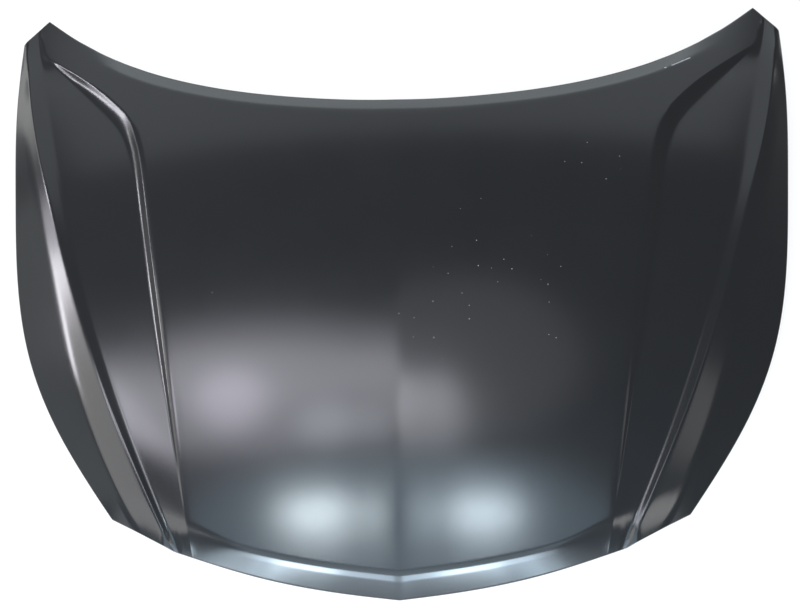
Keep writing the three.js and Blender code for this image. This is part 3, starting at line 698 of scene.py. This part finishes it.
link(floorTree, glow.outputs[0], floorMix.inputs[2])
floorOutput = floorTree.nodes["Material Output"]
link(floorTree, floorMix.outputs[0], floorOutput.inputs["Surface"])
floor.data.materials.append(floorMaterial)

# Studio walls and ceiling: brightness by height over the horizon, from the ground to overhead
walls = [(0.0, 0.27), (0.5, 0.27), (1.0, 0.22)]
wallTint = (0.96, 1, 1.04)
world = bpy.data.worlds.new("studio")
bpy.context.scene.world = world
world.use_nodes = True
worldTree = world.node_tree
background = worldTree.nodes["Background"]
direction = addNode(worldTree, "ShaderNodeTexCoord")
parts = addNode(worldTree, "ShaderNodeSeparateXYZ")
height = addNode(worldTree, "ShaderNodeMapRange", {"From Min": -1, "From Max": 1})
ramp = addNode(worldTree, "ShaderNodeValToRGB")
link(worldTree, direction.outputs["Generated"], parts.inputs[0])
link(worldTree, parts.outputs["Z"], height.inputs["Value"])
link(worldTree, height.outputs[0], ramp.inputs[0])
link(worldTree, ramp.outputs[0], background.inputs["Color"])
for k, (place, level) in enumerate(walls):
    stop = ramp.color_ramp.elements[k] if k < 2 else ramp.color_ramp.elements.new(place)
    stop.position = place
    stop.color = [level * share for share in wallTint] + [1]
background.inputs["Strength"].default_value = 1

bpy.context.scene.view_settings.view_transform = "Standard"

print("camera")
view = {
    "azimuth": 5.22,
    "elevation": 70,
    "roll": -5.69,
    "distance": 2570.7,
    "target": (4.4, -72.4, 82.25),
    "focalPixels": 1400,
    "imageWidth": 800,
    "sensorWidth": 36,
}
azimuth, elevation, roll = (math.radians(view[key]) for key in ("azimuth", "elevation", "roll"))
back = Vector((
    math.sin(azimuth) * math.cos(elevation),
    -math.cos(azimuth) * math.cos(elevation),
    math.sin(elevation),
))
right = (-back).cross(Vector((0, 0, 1))).normalized()
up = right.cross(-back)
tiltedRight = math.cos(roll) * right + math.sin(roll) * up
tiltedUp = -math.sin(roll) * right + math.cos(roll) * up
place = (Vector(view["target"]) + back * view["distance"]) * mm
camera = bpy.data.objects.new("camera", bpy.data.cameras.new("camera"))
turn = Matrix((tiltedRight, tiltedUp, back)).transposed().to_4x4()
camera.matrix_world = Matrix.Translation(place) @ turn
camera.data.sensor_width = view["sensorWidth"]
camera.data.lens = view["focalPixels"] * view["sensorWidth"] / view["imageWidth"]
bpy.context.scene.collection.objects.link(camera)
bpy.context.scene.camera = camera

print("light")


def softbox(name, position, aim, size, power, color, shape="RECTANGLE"):
    lamp = bpy.data.lights.new(name, "AREA")
    lamp.shape = shape
    lamp.size, lamp.size_y = size
    lamp.energy = power
    lamp.color = color
    lampObject = bpy.data.objects.new(name, lamp)
    lampObject.location = position
    direction = Vector(aim) - Vector(position)
    lampObject.rotation_euler = direction.to_track_quat("-Z", "Y").to_euler()
    bpy.context.scene.collection.objects.link(lampObject)


# Each lamp: place, aim, width and height in metres, power in watts, colour, and its shape where
# that isn't a rectangle. The lamps high over the bonnet all face straight down
softboxes = {
    "overheadBroad": [(-1.2, -0.1, 3.1), (-1.2, -0.05, 0), (2.8, 0.9), 22, (0.98, 0.97, 1.07), "ELLIPSE"],
    "overheadRear": [(-1.1, 0.2, 3.1), (-1.1, 0.25, 0), (2.2, 0.7), 9, (0.98, 0.97, 1.07), "ELLIPSE"],
    "overheadRight": [(0.4, 0.2, 3.1), (0.4, 0.25, 0), (1.4, 1.3), 3.2, (1, 0.98, 1.04), "ELLIPSE"],
    "overheadFar": [(-2.2, -0.2, 3.05), (-2.2, -0.15, 0), (0.6, 0.7), 7.5, (1, 0.97, 1.1), "ELLIPSE"],
    "overheadMain": [(-1.2, -0.12, 3.05), (-1.2, -0.07, 0), (0.5, 0.5), 4.5, (1, 0.95, 1.12), "ELLIPSE"],
    "overheadSmall": [
        (-0.55, -0.33, 3.05), (-0.55, -0.28, 0), (0.4, 0.3), 1.6, (0.95, 1, 1.12), "ELLIPSE"],
    "overheadMiddle": [
        (0.12, -0.25, 3.05), (0.12, -0.2, 0), (0.4, 0.6), 3.3, (0.97, 0.98, 1.06), "ELLIPSE"],
    "noseLeft": [(-0.63, -0.98, 3.05), (-0.63, -0.93, 0), (0.54, 0.2), 10.5, (0.86, 0.98, 1.04), "ELLIPSE"],
    "noseRight": [(0.44, -0.98, 3.05), (0.44, -0.93, 0), (0.5, 0.2), 9, (0.82, 0.97, 1.07), "ELLIPSE"],
    "noseGlow": [(-0.1, -1.1, 3.1), (-0.1, -1.05, 0), (3.0, 1.0), 13, (0.7, 0.95, 1.15), "ELLIPSE"],
    "leftStrip": [(-3.3, 0.35, 1.85), (-0.6, -0.1, 0.06), (1.0, 0.35), 26, (1, 0.98, 1.06)],
    "leftBroad": [(-3.35, -0.9, 2.65), (-0.5, -0.1, 0.06), (4.0, 1.5), 60, (1, 0.98, 0.96)],
    "leftLow": [(-3.4, -0.2, 0.65), (-0.5, -0.1, 0.06), (2.6, 1.1), 4.8, (0.93, 1, 0.98)],
    "leftRearLow": [(-3.3, 2.0, 0.8), (-0.6, 0.3, 0.06), (0.8, 1.8), 12, (1, 1, 0.98)],
    "leftRearSpot": [(-3.3, 1.48, 1.97), (-0.6, 0.3, 0.06), (0.28, 0.3), 6.5, (1, 0.98, 1.08)],
    "leftRearGlow": [(-3.3, 1.15, 1.8), (-0.6, 0.3, 0.06), (0.7, 0.4), 6, (1, 0.98, 1.06)],
    "rightNose": [(3.3, -2.3, 2.8), (0.5, -0.4, 0.03), (1.0, 1.4), 17, (1, 0.99, 0.97)],
    "rightDim": [(3.3, -0.6, 3.3), (0.5, -0.2, 0.03), (1.0, 0.7), 3, (1, 0.99, 0.97)],
    "lipLeft": [(-0.345, -1.1, 0.17), (-0.24, -0.55, 0.03), (0.2, 0.32), 3, (0.78, 0.95, 1.07)],
    "lipLeftSkirt": [(-0.31, -1.12, 0.17), (-0.24, -0.55, 0.03), (0.42, 0.32), 2.6, (0.75, 0.94, 1.12)],
    "lipRight": [(0.235, -1.1, 0.17), (0.17, -0.55, 0.03), (0.18, 0.32), 2.6, (0.76, 0.95, 1.08)],
    "lipRightSkirt": [(0.24, -1.12, 0.17), (0.17, -0.55, 0.03), (0.42, 0.32), 2.8, (0.72, 0.94, 1.14)],
    "lipBroad": [(-0.07, -1.14, 0.17), (-0.07, -0.55, 0.03), (1.2, 0.32), 5.5, (0.74, 0.95, 1.12)],
    "frontHigh": [(-0.1, -2.9, 2.5), (0, -0.5, 0.05), (3.4, 2.8), 60, (0.76, 0.96, 1.1)],
    "frontLeft": [(-1.5, -4, 1.0), (-0.2, -0.54, 0.03), (1.0, 1.8), 24, (0.82, 0.95, 1.04)],
    "frontRight": [(1.05, -4, 1.0), (0.2, -0.54, 0.03), (1.0, 1.8), 24, (0.8, 0.95, 1.05)],
    "frontBroad": [(-0.2, -4.1, 1.0), (0, -0.54, 0.03), (4.4, 2.0), 25, (0.82, 0.96, 1.04)],
    "cowl": [(0.1, 5, 2.2), (0, 0.3, 0.1), (5.5, 1.4), 55, (0.88, 0.98, 1.03)],
    "rearHigh": [(-0.2, 5.1, 4.3), (0, 0.3, 0.1), (8, 3.0), 60, (0.93, 0.99, 1.04)],
}
for name, values in softboxes.items():
    softbox(name, *values)
